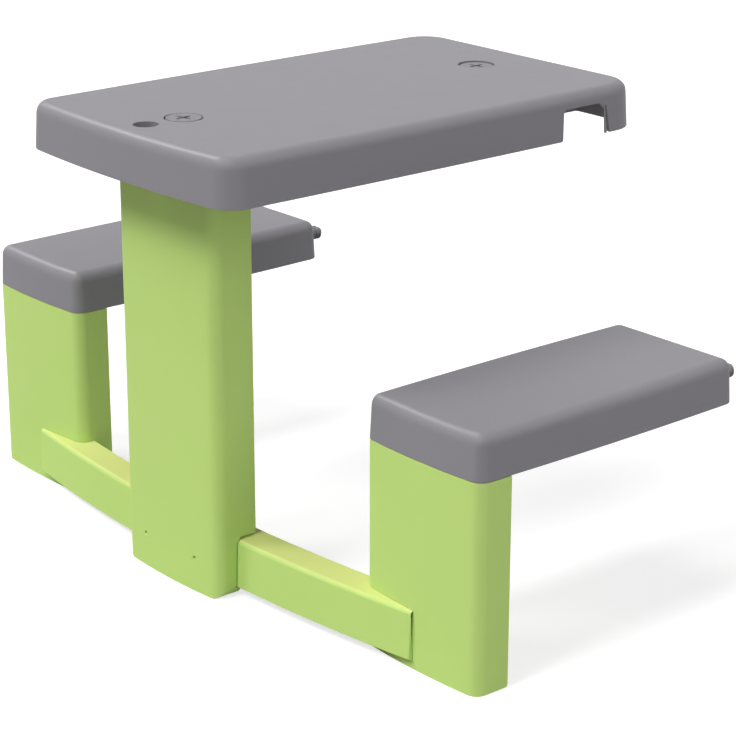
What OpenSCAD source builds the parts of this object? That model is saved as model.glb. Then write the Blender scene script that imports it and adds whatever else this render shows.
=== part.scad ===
// Child's picnic table with two bench seats, fixed to a low wall at its far end.
// +X is to the right and +Y away towards the wall. The origin is on the floor, under the middle.

/* [Tabletop] */
// Height of the tabletop above the floor
table_h = 495; // [420:1:620]
// Length of the tabletop from its near corners to its far edge
top_l = 558; // [500:1:680]
// Width of the tabletop at its near end
top_near_w = 346.8; // [300:0.2:430]
// Width of the tabletop at its far end
top_far_w = 348.6; // [300:0.2:430]
// Height of the tabletop's edge, skirt included
top_edge_h = 49.7; // [44:0.1:70]
// Bow of the near edge past its corners
top_bow = 9.5; // [0:0.1:25]
// Crown of each long side
top_crown = 2.1; // [0:0.1:8]
// Inward lean of the skirt over its height
top_draft = 2.25; // [0:0.05:5]
// Rounding along the upper edge
top_edge_r = 12.7; // [8:0.1:20]
// Plan radius of the near corners
top_near_r = 25; // [18:0.5:60]
// Plan radius of the far corners
top_far_r = 40; // [18:0.5:60]
// Wall thickness of the tabletop
top_wall = 3.4; // [2:0.1:5]
// Wall thickness of the tabletop's far skirt
top_far_wall = 6.8; // [4:0.1:9]
// Depth of the ribs under the tabletop
top_rib_depth = 13; // [6:0.1:14]
// Distance of the two outer long ribs from the middle
top_rib_x = 81.3; // [60:0.1:100]

/* [Wall notch] */
// Setback of the notch from the tabletop's far edge
notch_setback = 58.1; // [46:0.1:96]
// Width of the notch, which straddles the wall
notch_w = 61.7; // [40:0.1:63]
// Height of the notch above the skirt's lower edge
notch_h = 33.2; // [20:0.1:34]
// Lean of the notch's near side over its height
notch_lean = 1.8; // [0:0.1:4]
// Corner radius at the near side of the notch
notch_r = 4.5; // [1:0.1:8]
// Rounding of the notch's mouth at its near side
notch_mouth_r = 3; // [1:0.1:6]
// Chamfer at the far side of the notch
notch_chamfer = 6.3; // [1:0.1:8]
// Wall thickness of the spring tongue beside the notch
tongue_wall = 1.5; // [1.2:0.1:3]
// Width of the spring tongue at its root
tongue_root = 1.4; // [1.2:0.1:6]
// Width of the spring tongue at its foot
tongue_foot = 3.8; // [2:0.1:9]
// Height of the slit behind the tongue
slit_h = 30.2; // [16:0.1:33]
// Width of the slit behind the tongue at its root
slit_root = 1.3; // [0.5:0.1:2]
// Width of the slit behind the tongue at its foot
slit_foot = 4; // [1:0.1:5]

/* [Seats] */
// Height of the seats above the floor
seat_h = 265.5; // [220:0.5:340]
// Gap between the two seats
seat_spacing = 502.4; // [440:0.2:620]
// Setback of the seats from the tabletop's near corners
seat_setback = 102.5; // [90:0.5:140]
// Length of a seat
seat_l = 350.6; // [300:0.2:440]
// Width of a seat
seat_w = 164.5; // [140:0.5:220]
// Height of a seat's edge
seat_edge_h = 46.1; // [42:0.1:60]
// Bow of a seat's near end
seat_bow = 4.06; // [0:0.02:12]
// Crown of a seat's long sides
seat_crown = 2.9; // [0:0.1:8]
// Inward lean of a seat's skirt over its height
seat_draft = 1.86; // [0:0.02:4]
// Rounding along a seat's upper edge
seat_edge_r = 12; // [8:0.1:18]
// Plan radius of a seat's near corners
seat_near_r = 12; // [9:0.5:40]
// Plan radius of a seat's far corners
seat_far_r = 14; // [9:0.5:40]
// Wall thickness of a seat
seat_wall = 3; // [2:0.1:4]
// Depth of the ribs under a seat
seat_rib_depth = 11; // [6:0.1:14]

/* [Legs] */
// Width of the table leg
leg_w = 165.4; // [140:0.2:200]
// Depth of the table leg
leg_d = 49.6; // [44:0.2:62]
// Setback of the table leg from the tabletop's near corners
leg_setback = 47.1; // [46:0.1:52]
// Bow of the table leg's front
leg_bow = 4.4; // [0:0.1:8]
// Plan radius of the table leg's front corners
leg_r = 13; // [8:0.5:20]
// Radius of the table leg's lower corners
leg_foot_r = 13.5; // [6:0.5:20]
// Depth of the ribs behind the table leg's front
leg_rib_depth = 18; // [10:0.5:30]
// Depth of a seat leg
seat_leg_d = 39.8; // [38:0.1:60]
// Radius of a seat leg's lower corners
seat_foot_r = 5; // [2:0.5:12]
// Depth of the ribs behind a seat leg's front
seat_leg_rib_depth = 15; // [8:0.5:26]
// Wall thickness of the legs
leg_wall = 3.2; // [2:0.1:4]

/* [Crossbar] */
// Length of the crossbar across its ends
bar_l = 656; // [620:1:700]
// Height of the crossbar
bar_h = 54; // [40:0.5:64]
// Depth of the crossbar from front to back
bar_d = 35; // [24:0.5:36]
// Height of the crossbar's lower edge above the floor
bar_z = 10.5; // [9:0.5:20]
// Setback of the crossbar's middle from the tabletop's near corners
bar_setback = 68.7; // [66:0.1:72]
// Radius of the crossbar's bow
bar_bow_r = 2146; // [2000:1:4000]
// Rounding along the crossbar's upper front edge
bar_edge_r = 5; // [1:0.1:8]
// Lean of the crossbar's front over its height
bar_draft = 1.5; // [0:0.1:4]
// Fall of the crossbar's top towards its front
bar_fall = 1.8; // [0:0.1:4]
// Wall thickness of the crossbar
bar_wall = 3; // [2:0.1:4]

/* [Screws] */
// Diameter of a large screw's head
big_head_d = 38.4; // [34:0.2:44]
// Thickness of a large screw's head
big_head_t = 4.5; // [3:0.1:6]
// Diameter of a large screw's shank
big_shank_d = 17.5; // [12:0.5:20]
// Length of a large screw under its head
big_shank_l = 40; // [30:1:60]
// Setback of the near large screw from the tabletop's near corners
near_screw_setback = 76; // [73:0.5:80]
// Setback of the far large screw from the tabletop's far edge
far_screw_setback = 83.7; // [82:0.1:96]
// Depth of the far large screw's head below the tabletop
far_screw_sink = 1.6; // [0:0.1:3]
// Turn of the near large screw's cross recess
near_cross_turn = 8; // [0:1:89]
// Turn of the far large screw's cross recess
far_cross_turn = 7; // [0:1:89]
// Diameter of a wall stud
stud_d = 17; // [12:0.5:20]
// Length of a wall stud past the seat
stud_reach = 21.6; // [8:0.2:40]
// Distance of a wall stud from the seat's middle
stud_offset = 54.5; // [40:0.5:66]
// Depth of a wall stud's axis below the seat's top
stud_drop = 23.1; // [16:0.1:26]
// Diameter of a small screw
small_d = 4; // [3:0.1:5]
// Diameter of a small screw's head
small_head_d = 8; // [6:0.1:9]
// Distance of the leg's small screws from the middle
leg_screw_x = 43.5; // [30:0.5:60]
// Height of the leg's small screws above the floor
leg_screw_z = 38; // [30:0.5:44]

/* [Parasol hole] */
// Diameter of the parasol hole
parasol_d = 26; // [20:0.5:28]
// Setback of the parasol hole from the tabletop's near corners
parasol_setback = 30; // [28:0.5:34]
// Length of the collar under the parasol hole
parasol_collar_l = 24; // [12:0.5:25]

/* [Hidden] */

// Colours of the mouldings and of the steel screws
grey = "#8e8d91";
lime = "#b2d67a";
steel = "#b9bcc0";

// Clearances, rib and fillet sizes
over = 1; // Overrun of every cut past the face it opens
seam = 0.4; // Joint line between a seat and its leg
fit = 0.3; // Play between pieces that slot together
screw_play = 0.15; // Radial play of a screw in its hole
head_play = 0.9; // Radial play of a large screw's head in its pocket
slot_play = 0.8; // Play between the crossbar and its slot in the table leg
rib_t = 2.2;
socket_depth = 8; // How far the table leg's guiding ribs reach above the skirt's lower edge
neck_h = 14; // Height of the neck of a seat leg inside its seat
corner_steps = 7;
edge_steps = 6;
side_steps = 6;
bow_steps = 10;

// Levels and places that the pieces share
near_y = (top_bow - top_l) / 2; // Tabletop's near corners, with the origin under the middle
far_y = near_y + top_l;
skirt_z = table_h - top_edge_h;
roof_z = table_h - top_wall;
notch_far_y = far_y - notch_setback;
notch_near_y = notch_far_y - notch_w;
seat_y = near_y + seat_setback;
seat_x = (seat_spacing + seat_w) / 2;
seat_skirt_z = seat_h - seat_edge_h;
seat_roof_z = seat_h - seat_wall;
leg_y = near_y + leg_setback;
leg_back_y = leg_y + leg_d;
leg_top_z = table_h - parasol_collar_l - seam - over;
seat_leg_top_z = seat_skirt_z - seam;
neck_top_z = seat_skirt_z + neck_h;
bar_y = near_y + bar_setback;
bar_end_x = bar_l / 2;
bar_top_z = bar_z + bar_h;
near_screw_y = near_y + near_screw_setback;
far_screw_y = far_y - far_screw_setback;
parasol_y = near_y + parasol_setback;
big_head_z = table_h - big_head_t;
far_head_z = big_head_z - far_screw_sink;
stud_z = seat_h - stud_drop;

// Points along an arc about c from angle a to angle b
function arc(c, r, a, b, n) = [
    for (i = [0 : n])
        let (t = a + (b - a) * i / n)
        c + r * [cos(t), sin(t)]
];

// Points between two others, without the two themselves
function between(a, b, n) = [for (i = [1 : 1 : n - 1]) a + (b - a) * i / n];

// Outline of a slab with round corners before it is bowed, drawn in by inset
function slab(w0, w1, l, r0, r1, inset) =
    let (n = max(r0 - inset, rib_t), f = max(r1 - inset, rib_t))
    let (a = w0 / 2 - inset, b = w1 / 2 - inset)
    let (near = inset, far = l - inset)
    concat(
        arc([a - n, near + n], n, -90, 0, corner_steps),
        between([a, near + n], [b, far - f], side_steps),
        arc([b - f, far - f], f, 0, 90, corner_steps),
        arc([f - b, far - f], f, 90, 180, corner_steps),
        between([-b, far - f], [-a, near + n], side_steps),
        arc([n - a, near + n], n, 180, 270, corner_steps),
        between([n - a, near], [a - n, near], bow_steps)
    );

// A slab's outline with its near end bowed out and its long sides crowned
function bowed(points, w, l, bow, crown) = [
    for (p = points)
        let (u = 2 * p.x / w, v = 2 * p.y / l - 1)
        [p.x + crown * u * (1 - v * v), p.y - bow * (1 - u * u) * max(0, -v)]
];

function top_outline(inset) =
    bowed(slab(top_near_w, top_far_w, top_l, top_near_r, top_far_r, inset),
        (top_near_w + top_far_w) / 2, top_l, top_bow, top_crown);

function seat_outline(inset) =
    bowed(slab(seat_w, seat_w, seat_l, seat_near_r, seat_far_r, inset), seat_w, seat_l, seat_bow, seat_crown);

// Inset and height of each ring of a moulding: foot, top of the skirt, then round the edge
function edge_path(foot_z, top_z, draft, r, inset) = concat(
    [[inset, foot_z]],
    [for (i = [0 : edge_steps])
        let (t = 90 * i / edge_steps, q = r - inset)
        [inset + draft + q * (1 - cos(t)), top_z - r + q * sin(t)]]
);

// Solid skinned over rings of equally many points, each ring above the one before it
module skin(rings) {
    n = len(rings[0]);
    m = len(rings);
    polyhedron(
        points = [for (ring = rings) each ring],
        faces = concat(
            [[for (i = [0 : n - 1]) i]],
            [for (j = [0 : m - 2], i = [0 : n - 1])
                [j * n + i, (j + 1) * n + i, (j + 1) * n + (i + 1) % n]],
            [for (j = [0 : m - 2], i = [0 : n - 1])
                [j * n + i, (j + 1) * n + (i + 1) % n, j * n + (i + 1) % n]],
            [[for (i = [n - 1 : -1 : 0]) (m - 1) * n + i]]
        ),
        convexity = 4
    );
}

// Box given by its two opposite corners
module block(a, b) {
    translate(a) cube(b - a);
}

// Upright round post between two heights
module post(p, r, z0, z1) {
    translate([p.x, p.y, z0]) cylinder(r = r, h = z1 - z0, $fn = 48);
}

// Round bar along Y between two places
module lengthwise_post(x, z, r, y0, y1) {
    translate([x, y0, z]) rotate([-90, 0, 0]) cylinder(r = r, h = y1 - y0, $fn = 32);
}

// Outer form of the tabletop, or its hollow when inset is the wall
module top_form(inset, foot_z) {
    translate([0, near_y, 0]) skin([
        for (e = edge_path(foot_z, table_h, top_draft, top_edge_r, inset))
            [for (p = top_outline(e[0])) [p.x, p.y, e[1]]]
    ]);
}

// Outer form of a seat about its own middle, or its hollow when inset is the wall
module seat_form(inset, foot_z) {
    translate([0, seat_y, 0]) skin([
        for (e = edge_path(foot_z, seat_h, seat_draft, seat_edge_r, inset))
            [for (p = seat_outline(e[0])) [p.x, p.y, e[1]]]
    ]);
}

guide_x = leg_w / 2 + fit + rib_t / 2; // Middle of the ribs that guide the table leg
top_rib_z = roof_z - top_rib_depth;
bay_y = notch_far_y + tongue_foot + slit_foot;
top_rib_count = 6;

// Everything that stays solid inside the tabletop: ribs, screw bosses and the parasol collar
module top_ribs() {
    reach = top_near_w / 2 + top_crown;
    first = leg_back_y + fit + rib_t / 2;
    pitch = (notch_near_y - first) / (top_rib_count - 1);
    for (side = [-1, 1]) {
        x = side * top_rib_x;
        guide = side * guide_x;
        block([x - rib_t / 2, near_y, top_rib_z], [x + rib_t / 2, far_y, table_h]);
        block([guide - rib_t / 2, leg_y, skirt_z + socket_depth], [guide + rib_t / 2, first, table_h]);
        block([x - rib_t / 2, bay_y, skirt_z + seam], [x + rib_t / 2, far_y, table_h]);
    }
    block([-top_far_w / 2, far_y - top_far_wall, skirt_z], [top_far_w / 2, far_y, table_h]);
    block([-rib_t / 2, first, top_rib_z], [rib_t / 2, far_y, table_h]);
    for (i = [0 : top_rib_count - 1]) {
        y = first + i * pitch;
        block([-reach, y - rib_t / 2, top_rib_z], [reach, y + rib_t / 2, table_h]);
    }
    block([-guide_x, first - rib_t / 2, skirt_z + socket_depth], [guide_x, first + rib_t / 2, table_h]);
    post([0, near_screw_y], big_head_d / 2 + top_wall, big_head_z - top_wall, table_h);
    post([0, near_screw_y], big_shank_d / 2 + top_wall, leg_top_z, table_h);
    post([0, far_screw_y], big_head_d / 2 + top_wall, far_head_z - top_wall, table_h);
    post([0, far_screw_y], big_shank_d / 2 + top_wall, top_rib_z, table_h);
    post([0, parasol_y], parasol_d / 2 + top_wall, table_h - parasol_collar_l, table_h);
}

// Side view of the notch and of the slit behind its spring tongue
module notch_profile() {
    y0 = notch_near_y;
    y1 = notch_far_y;
    z1 = skirt_z + notch_h;
    z0 = skirt_z - over;
    near_top = y0 + notch_lean;
    mouth = y0 - notch_mouth_r;
    polygon(concat(
        [[mouth, z0]],
        arc([mouth, skirt_z + notch_mouth_r], notch_mouth_r, -90, 0, corner_steps),
        arc([near_top + notch_r, z1 - notch_r], notch_r, 180, 90, corner_steps),
        [[y1 - notch_chamfer, z1], [y1, z1 - notch_chamfer], [y1, z0]]
    ));
    root = y1 + tongue_root;
    foot = y1 + tongue_foot;
    slit_z = skirt_z + slit_h;
    polygon([[root, slit_z], [root + slit_root, slit_z], [foot + slit_foot, z0], [foot, z0]]);
}

module tabletop() {
    width = top_far_w + 2 * top_crown + 2 * over;
    color(grey) difference() {
        top_form(0, skirt_z);
        difference() {
            top_form(top_wall, skirt_z - over);
            top_ribs();
        }
        intersection() {
            top_form(tongue_wall, skirt_z - over);
            block([-width, notch_far_y, skirt_z - over], [width, bay_y, skirt_z + slit_h]);
        }
        translate([-width / 2, 0, 0]) rotate([90, 0, 90])
            linear_extrude(width) notch_profile();
        post([0, parasol_y], parasol_d / 2, table_h - parasol_collar_l - over, table_h + over);
        for (y = [near_screw_y, far_screw_y])
            post([0, y], big_shank_d / 2 + screw_play, skirt_z, table_h + over);
        post([0, near_screw_y], big_head_d / 2 + head_play, big_head_z, table_h + over);
        post([0, far_screw_y], big_head_d / 2 + head_play, far_head_z, table_h + over);
    }
}

seat_end_y = seat_y + seat_l;
seat_rib_z = seat_roof_z - seat_rib_depth;
seat_rib_count = 5;
seat_rib_x = seat_w / 4;
seat_screw_x = seat_w / 4;
seat_screw_y = seat_y + seat_leg_d / 2;
seat_back_y = seat_y + seat_leg_d;
boss_t = 3; // Wall of a screw boss
stud_boss_l = 9;
stud_flange_t = 3;
stud_flange_rim = 2.2; // Rim of the flange past the stud
stud_neck_rim = 0.5;
stud_flange_r = stud_d / 2 + stud_flange_rim;
stud_neck_r = stud_d / 2 + stud_neck_rim;
stud_tip_l = 2;

// Everything that stays solid inside a seat: ribs, screw bosses and the bosses of the wall studs
module seat_ribs() {
    pitch = (seat_end_y - seat_back_y) / (seat_rib_count + 1);
    for (x = [-seat_rib_x, 0, seat_rib_x])
        block([x - rib_t / 2, seat_y - over, seat_rib_z], [x + rib_t / 2, seat_end_y, seat_h]);
    for (i = [0 : seat_rib_count]) {
        y = seat_back_y + fit + rib_t / 2 + i * pitch;
        block([-seat_w / 2 - seat_crown, y - rib_t / 2, seat_rib_z],
            [seat_w / 2 + seat_crown, y + rib_t / 2, seat_h]);
    }
    for (side = [-1, 1]) {
        post([side * seat_screw_x, seat_screw_y], small_d / 2 + boss_t, neck_top_z, seat_h);
        lengthwise_post(side * stud_offset, stud_z, stud_neck_r + boss_t, seat_end_y - stud_boss_l,
            seat_end_y);
    }
}

module seat(side) {
    color(grey) translate([side * seat_x, 0, 0]) difference() {
        seat_form(0, seat_skirt_z);
        difference() {
            seat_form(seat_wall, seat_skirt_z - over);
            seat_ribs();
        }
        for (side = [-1, 1]) {
            post([side * seat_screw_x, seat_screw_y], small_d / 2 + screw_play, neck_top_z - over,
                neck_top_z + small_l);
            lengthwise_post(side * stud_offset, stud_z, stud_neck_r + screw_play,
                seat_end_y - stud_boss_l - over, seat_end_y + over);
            lengthwise_post(side * stud_offset, stud_z, stud_flange_r + fit,
                seat_end_y - stud_boss_l - stud_flange_t - fit, seat_end_y - stud_boss_l);
        }
    }
}

module left_seat() {
    seat(-1);
}

module right_seat() {
    seat(1);
}

// Front view of a leg: straight sides on round lower corners
module leg_front(w, z0, z1, r) {
    polygon(concat(
        [[w / 2, z1], [-w / 2, z1]],
        arc([r - w / 2, z0 + r], r, 180, 270, corner_steps),
        arc([w / 2 - r, z0 + r], r, 270, 360, corner_steps)
    ));
}

// The same front view run from front to back
module leg_front_prism(w, z0, z1, r, y0, y1) {
    translate([0, y1, 0]) rotate([90, 0, 0]) linear_extrude(y1 - y0) leg_front(w, z0, z1, r);
}

// Distance along Y of a point on the crossbar's bow, for a radius about the bow's centre
function bow_at(r, x) = bar_y + bar_bow_r - sqrt(r * r - x * x);

bar_back_r = bar_bow_r - bar_d;
sweep_over = 1; // Overrun of the sweep past the crossbar's ends, in degrees
bar_sweep = asin(bar_end_x / bar_back_r) + sweep_over;
bar_mid_z = (bar_z + bar_top_z) / 2;
bar_rib_count = 11;

// Cross-section of the crossbar, drawn in by inset, from the bow's centre outwards
function bar_section(inset, foot_z) =
    let (front = bar_bow_r - inset, back = bar_back_r + inset, top = bar_top_z - inset)
    let (e = max(bar_edge_r - inset, seam))
    let (brow = front - bar_draft, brow_z = top - bar_fall)
    concat(
        [[back, foot_z], [front, foot_z]],
        arc([brow - e, brow_z - e], e, 0, 90, corner_steps),
        [[back, top]]
    );

// The crossbar's section swept along its bow
module bar_sweep_form(inset, foot_z) {
    translate([0, bar_y + bar_bow_r, 0]) rotate([0, 0, -90 - bar_sweep])
        rotate_extrude(angle = 2 * bar_sweep, $fn = 720) polygon(bar_section(inset, foot_z));
}

// Plan of the crossbar between its ends, with the front corners rounded
module bar_plan(r) {
    centre_y = bow_at(bar_bow_r - r, bar_end_x - r);
    lean = asin((bar_end_x - r) / (bar_bow_r - r));
    right = arc([bar_end_x - r, centre_y], r, 0, lean - 90, corner_steps);
    tip = right[corner_steps];
    polygon(concat(
        [[-bar_end_x, far_y], [bar_end_x, far_y]],
        right,
        [[tip.x + bar_d * sin(lean), tip.y - bar_d * cos(lean)]],
        [[-tip.x - bar_d * sin(lean), tip.y - bar_d * cos(lean)]],
        [for (i = [corner_steps : -1 : 0]) [-right[i].x, right[i].y]]
    ));
}

// Everything that stays solid inside the crossbar: cross ribs and screw bosses
module bar_ribs() {
    pitch = bar_l / (bar_rib_count + 1);
    for (i = [-(bar_rib_count - 1) / 2 : (bar_rib_count - 1) / 2])
        block([i * pitch - rib_t / 2, near_y, bar_z + rib_t],
            [i * pitch + rib_t / 2, far_y, bar_top_z + over]);
    for (side = [-1, 1]) {
        lengthwise_post(side * leg_screw_x, leg_screw_z, small_head_d / 2 + fit + rib_t, near_y, far_y);
        lengthwise_post(side * end_screw_x, bar_mid_z, small_d / 2 + boss_t, near_y, far_y);
    }
}

small_l = 16; // Length of a small screw past the wall that it clamps
small_head_t = 2.5;
end_screw_inset = 22; // Distance of an end screw from the crossbar's end
end_screw_x = bar_end_x - end_screw_inset;
bar_corner_r = 3;

module crossbar() {
    inner_x = bar_end_x - bar_wall;
    color(lime) difference() {
        intersection() {
            bar_sweep_form(0, bar_z);
            translate([0, 0, bar_z - over]) linear_extrude(bar_h + 2 * over) bar_plan(bar_corner_r);
        }
        difference() {
            intersection() {
                bar_sweep_form(bar_wall, bar_z - over);
                block([-inner_x, near_y, bar_z - over], [inner_x, far_y, bar_top_z]);
            }
            bar_ribs();
        }
        for (side = [-1, 1]) {
            front = bow_at(bar_bow_r, leg_screw_x);
            back = bow_at(bar_back_r, end_screw_x);
            lengthwise_post(side * leg_screw_x, leg_screw_z, small_d / 2 + screw_play, front - over,
                front + bar_d);
            lengthwise_post(side * leg_screw_x, leg_screw_z, small_head_d / 2 + fit, front + bar_wall,
                front + bar_d + over);
            lengthwise_post(side * end_screw_x, bar_mid_z, small_d / 2 + screw_play, back - small_l - over,
                back + over);
        }
    }
}

leg_half = leg_w / 2;
leg_rib_x = leg_w / 6;
leg_shelf_count = 5;
leg_lip_d = 29; // Reach of the lip under the crossbar, from the leg's front
slot_corner = 3;
socket_l = big_shank_l + 2 * over;

// Plan of the table leg, or of its hollow when inset is the wall, run back past the open side
function leg_outline(inset, run) =
    bowed(slab(leg_w, leg_w, leg_d + run, leg_r, rib_t, inset), leg_w, leg_d + run, leg_bow, 0);

// Everything that stays solid inside the table leg: shelves, upright ribs and screw bosses
module leg_ribs() {
    pitch = leg_top_z / (leg_shelf_count + 1);
    rib_y = leg_y + leg_rib_depth;
    for (side = [-1, 1])
        block([side * leg_rib_x - rib_t / 2, leg_y, 0], [side * leg_rib_x + rib_t / 2, rib_y, leg_top_z]);
    for (i = [1 : leg_shelf_count])
        block([-leg_half, leg_y - leg_bow, i * pitch - rib_t / 2], [leg_half, rib_y, i * pitch + rib_t / 2]);
    block([-rib_t / 2, leg_y - leg_bow, big_head_z - socket_l], [rib_t / 2, near_screw_y, leg_top_z]);
    post([0, near_screw_y], big_shank_d / 2 + boss_t, big_head_z - socket_l, leg_top_z);
}

// Room for the crossbar in the table leg: its own form with play, and the way in from behind
module leg_slot() {
    bar_sweep_form(-slot_play, bar_z - slot_play);
    block([-leg_w, bar_y + bar_edge_r + bar_draft, bar_z - slot_play],
        [leg_w, leg_back_y + over, bar_top_z + slot_play]);
    lip_y = leg_y + leg_lip_d;
    translate([-leg_w, 0, 0]) rotate([90, 0, 90]) linear_extrude(2 * leg_w) polygon(concat(
        [[leg_back_y + over, bar_z + over], [leg_back_y + over, -over], [lip_y, -over]],
        arc([lip_y - slot_corner, bar_z - slot_play - slot_corner], slot_corner, 0, 90, corner_steps),
        [[lip_y - slot_corner, bar_z + over]]
    ));
}

// Bosses behind the table leg's front that the crossbar is screwed against
module leg_bosses() {
    for (side = [-1, 1])
        lengthwise_post(side * leg_screw_x, leg_screw_z, small_d / 2 + boss_t, leg_y - leg_bow + leg_wall,
            bow_at(bar_bow_r, leg_screw_x) - fit);
}

module table_leg() {
    inner = leg_foot_r - leg_wall;
    color(lime) difference() {
        union() {
            difference() {
                intersection() {
                    translate([0, leg_y, 0]) linear_extrude(leg_top_z) polygon(leg_outline(0, 0));
                    leg_front_prism(leg_w, 0, leg_top_z, leg_foot_r, near_y, leg_back_y);
                }
                difference() {
                    intersection() {
                        translate([0, leg_y, leg_wall]) linear_extrude(leg_top_z - 2 * leg_wall)
                            polygon(leg_outline(leg_wall, leg_wall + over));
                        leg_front_prism(leg_w - 2 * leg_wall, leg_wall, leg_top_z, inner, near_y,
                            leg_back_y + 2 * over);
                    }
                    leg_ribs();
                }
                leg_slot();
            }
            leg_bosses();
        }
        post([0, near_screw_y], big_shank_d / 2 + screw_play, big_head_z - socket_l - over, leg_top_z + over);
        for (side = [-1, 1])
            lengthwise_post(side * leg_screw_x, leg_screw_z, small_d / 2 + screw_play, near_y, leg_back_y);
    }
}

neck_inset = seat_wall + seat_draft + fit;
seat_leg_half = seat_w / 2;
seat_shelf_count = 2;
pocket_x = bar_end_x + fit; // End of the pocket that takes the crossbar
pocket_back_y = bow_at(bar_back_r - fit, pocket_x);
pocket_wall_y = pocket_back_y + leg_wall;

// Everything that stays solid inside a seat leg: the crossbar's pocket, shelves and an upright rib
module seat_leg_ribs() {
    low = bar_z - fit - leg_wall;
    high = bar_top_z + fit + leg_wall;
    pitch = (seat_leg_top_z - high) / (seat_shelf_count + 1);
    rib_y = seat_y + seat_leg_rib_depth;
    block([0, seat_y - seat_bow, low], [pocket_x + leg_wall, pocket_wall_y, high]);
    block([seat_x - rib_t / 2, seat_y - seat_bow, high], [seat_x + rib_t / 2, rib_y, neck_top_z]);
    block([pocket_x + leg_wall - rib_t, seat_y - seat_bow, 0],
        [pocket_x + leg_wall, seat_back_y - rib_t, high]);
    for (i = [0 : seat_shelf_count]) {
        z = high + i * pitch;
        block([seat_x - seat_leg_half, seat_y - seat_bow, z - rib_t], [seat_x + seat_leg_half, rib_y, z]);
    }
}

// Plan of a seat leg or of its neck, cut off behind
module seat_leg_plan(inset, back) {
    intersection() {
        translate([seat_x, seat_y]) polygon(seat_outline(inset));
        translate([0, near_y]) square([2 * seat_x, back - near_y]);
    }
}

// Side view of a seat leg: its lower back corner is round
module seat_leg_side() {
    polygon(concat(
        [[near_y, neck_top_z], [near_y, 0]],
        arc([seat_back_y - seat_foot_r, seat_foot_r], seat_foot_r, 270, 360, corner_steps),
        [[seat_back_y, neck_top_z]]
    ));
}

// The seat leg on the right
module seat_leg() {
    back = seat_back_y + over;
    difference() {
        intersection() {
            union() {
                linear_extrude(seat_leg_top_z) seat_leg_plan(0, seat_back_y);
                linear_extrude(neck_top_z) seat_leg_plan(neck_inset, seat_back_y);
            }
            translate([seat_x, 0, 0])
                leg_front_prism(seat_w + 2 * seat_crown, 0, neck_top_z, seat_foot_r, near_y, seat_back_y);
            rotate([90, 0, 90]) linear_extrude(2 * seat_x) seat_leg_side();
        }
        difference() {
            union() {
                translate([0, 0, leg_wall]) linear_extrude(seat_leg_top_z - 2 * leg_wall)
                    seat_leg_plan(leg_wall, back);
                translate([0, 0, leg_wall]) linear_extrude(neck_top_z - 2 * leg_wall)
                    seat_leg_plan(neck_inset + leg_wall, back);
            }
            seat_leg_ribs();
        }
        intersection() {
            bar_sweep_form(-fit, bar_z - fit);
            block([0, near_y, 0], [pocket_x, far_y, seat_leg_top_z]);
        }
        for (side = [-1, 1])
            post([seat_x + side * seat_screw_x, seat_screw_y], small_d / 2 + screw_play, seat_leg_top_z,
                neck_top_z + over);
        lengthwise_post(end_screw_x, bar_mid_z, small_d / 2 + screw_play, bar_y, seat_back_y);
    }
}

module left_seat_leg() {
    color(lime) mirror([1, 0, 0]) seat_leg();
}

module right_seat_leg() {
    color(lime) seat_leg();
}

cross_l = 17.5; // Span of the cross recess in a large screw
cross_tip_w = 3;
cross_root_w = 4.6;
cross_depth = 2;
tip_l = 2.5;

// Cross recess with four arms that widen towards the middle
module cross() {
    polygon([
        for (turn = [0 : 90 : 270])
            for (p = [[cross_l, -cross_tip_w], [cross_l, cross_tip_w], [cross_root_w, cross_root_w]] / 2)
                [p.x * cos(turn) - p.y * sin(turn), p.x * sin(turn) + p.y * cos(turn)]
    ]);
}

// Large screw with a flat round head
module big_screw(y, head_z, cross_turn) {
    color(grey) translate([0, y, head_z]) difference() {
        union() {
            post([0, 0], big_head_d / 2, 0, big_head_t);
            post([0, 0], big_shank_d / 2, tip_l - big_shank_l, 0);
            translate([0, 0, -big_shank_l])
                cylinder(r1 = big_shank_d / 2 - tip_l, r2 = big_shank_d / 2, h = tip_l, $fn = 48);
        }
        translate([0, 0, big_head_t - cross_depth]) rotate([0, 0, cross_turn])
            linear_extrude(cross_depth + over) cross();
    }
}

module near_table_screw() {
    big_screw(near_screw_y, big_head_z, near_cross_turn);
}

module far_table_screw() {
    big_screw(far_screw_y, far_head_z, far_cross_turn);
}

// The two studs of one seat, each with its flange against the inside of the boss
module wall_studs(seat_side) {
    back = seat_end_y - stud_boss_l;
    color(grey) for (side = [-1, 1]) {
        x = seat_side * seat_x + side * stud_offset;
        lengthwise_post(x, stud_z, stud_flange_r, back - stud_flange_t, back);
        lengthwise_post(x, stud_z, stud_neck_r, back - over, seat_end_y);
        lengthwise_post(x, stud_z, stud_d / 2, seat_end_y - over, seat_end_y + stud_reach - stud_tip_l);
        translate([x, seat_end_y + stud_reach - stud_tip_l, stud_z]) rotate([-90, 0, 0])
            cylinder(r1 = stud_d / 2, r2 = stud_d / 2 - stud_tip_l, h = stud_tip_l, $fn = 32);
    }
}

module left_wall_studs() {
    wall_studs(-1);
}

module right_wall_studs() {
    wall_studs(1);
}

// Small screw along +Z with its head's inner face at z = 0
module small_screw(length) {
    translate([0, 0, -small_head_t]) cylinder(d = small_head_d, h = small_head_t, $fn = 24);
    cylinder(d = small_d, h = length, $fn = 24);
}

module leg_bar_screws() {
    front = bow_at(bar_bow_r, leg_screw_x);
    color(steel) for (side = [-1, 1])
        translate([side * leg_screw_x, front + bar_wall, leg_screw_z]) rotate([90, 0, 0])
            small_screw(bar_wall + small_l);
}

module seat_screws(seat_side) {
    color(steel) for (side = [-1, 1])
        translate([seat_side * seat_x + side * seat_screw_x, seat_screw_y, neck_top_z - leg_wall])
            small_screw(leg_wall + small_l - over);
}

module left_seat_screws() {
    seat_screws(-1);
}

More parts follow.
